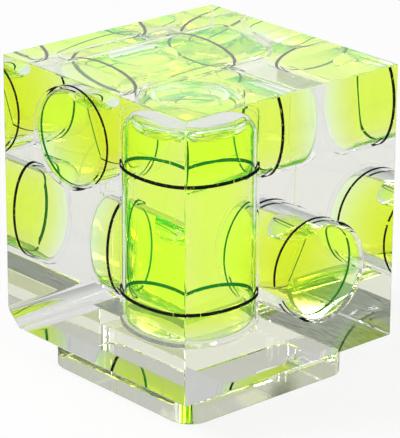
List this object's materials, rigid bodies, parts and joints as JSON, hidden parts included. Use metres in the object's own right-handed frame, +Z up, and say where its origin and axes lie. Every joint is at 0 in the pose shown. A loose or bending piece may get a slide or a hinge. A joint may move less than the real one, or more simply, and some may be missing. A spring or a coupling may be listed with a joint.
{
  "type": "camera shoe spirit level",
  "caption": "Clear acrylic block on a shoe foot, with bubble vials of yellow-green liquid cast into it square to each other.",
  "frame": {"origin": "middle of the foot's underside, at the bottom centre of the whole part", "axes": "+Z up through the block; +X out of the face that the lower vial's closed end is behind, and the way the foot slides; -Y out of the face that the upper vial's closed end is behind"},
  "size_m": [0.0236, 0.0236, 0.0281],
  "materials": {
    "clear_acrylic": "polished clear cast acrylic, milled on the foot",
    "vial_plastic": "moulded clear plastic",
    "level_liquid": "clear fluorescent yellow-green liquid",
    "air_bubble": "air",
    "black_line_paint": "black line paint, chipped in places"
  },
  "bodies": {
    "block": {"clear_block_with_foot": "clear_acrylic", "upright_vial_tube": "vial_plastic", "upright_vial_cap": "vial_plastic", "upright_vial_liquid": "level_liquid", "upright_vial_lower_line": "black_line_paint", "upright_vial_upper_line": "black_line_paint", "upper_vial_tube": "vial_plastic", "upper_vial_cap": "vial_plastic", "upper_vial_liquid": "level_liquid", "upper_vial_front_line": "black_line_paint", "upper_vial_rear_line": "black_line_paint", "lower_vial_tube": "vial_plastic", "lower_vial_cap": "vial_plastic", "lower_vial_liquid": "level_liquid", "lower_vial_left_line": "black_line_paint", "lower_vial_right_line": "black_line_paint"},
    "upright_bubble": {"upright_vial_bubble": "air_bubble"},
    "upper_bubble": {"upper_vial_bubble": "air_bubble"},
    "lower_bubble": {"lower_vial_bubble": "air_bubble"}
  },
  "joints": [
    {"name": "upright_bubble_slide", "type": "slide", "parent": "block", "child": "upright_bubble", "axis": [0, 0, 1], "range_m": [-0.0169, 0], "stiffness_N_per_m": 0.06, "springref_m": 0.02, "deforming": ["upright_vial_liquid"]},
    {"name": "upper_bubble_slide", "type": "slide", "parent": "block", "child": "upper_bubble", "axis": [0, 1, 0], "range_m": [-0.0027, 0.0075], "stiffness_N_per_m": 0.001, "deforming": ["upper_vial_liquid"]},
    {"name": "lower_bubble_slide", "type": "slide", "parent": "block", "child": "lower_bubble", "axis": [1, 0, 0], "range_m": [-0.0064, 0.0038], "stiffness_N_per_m": 0.001, "deforming": ["lower_vial_liquid"]}
  ]
}
